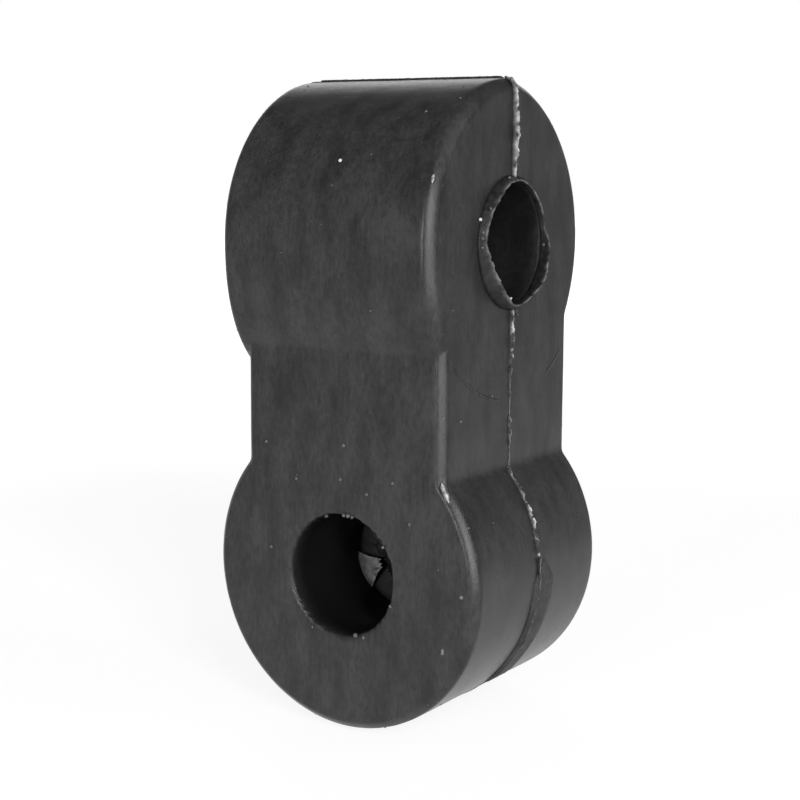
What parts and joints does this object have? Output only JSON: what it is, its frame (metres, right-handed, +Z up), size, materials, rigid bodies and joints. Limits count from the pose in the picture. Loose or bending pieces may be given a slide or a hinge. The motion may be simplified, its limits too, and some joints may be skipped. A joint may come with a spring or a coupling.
{
  "type": "exhaust hanger rubber",
  "caption": "Moulded rubber block with two round eyes at right angles, joined by a square neck, that hangs an exhaust pipe from a car body.",
  "frame": {"origin": "middle of the upper bore, on the mould's parting plane", "axes": "+X along the upper bore, towards the torn lip; +Y along the lower bore, away from the viewer; +Z up, from the lower eye to the upper eye"},
  "size_m": [0.0324, 0.0296, 0.0661],
  "materials": {
    "moulded_rubber": "satin black, straight from the mould"
  },
  "bodies": {
    "root": {"hanger_rubber": "moulded_rubber"}
  },
  "joints": []
}
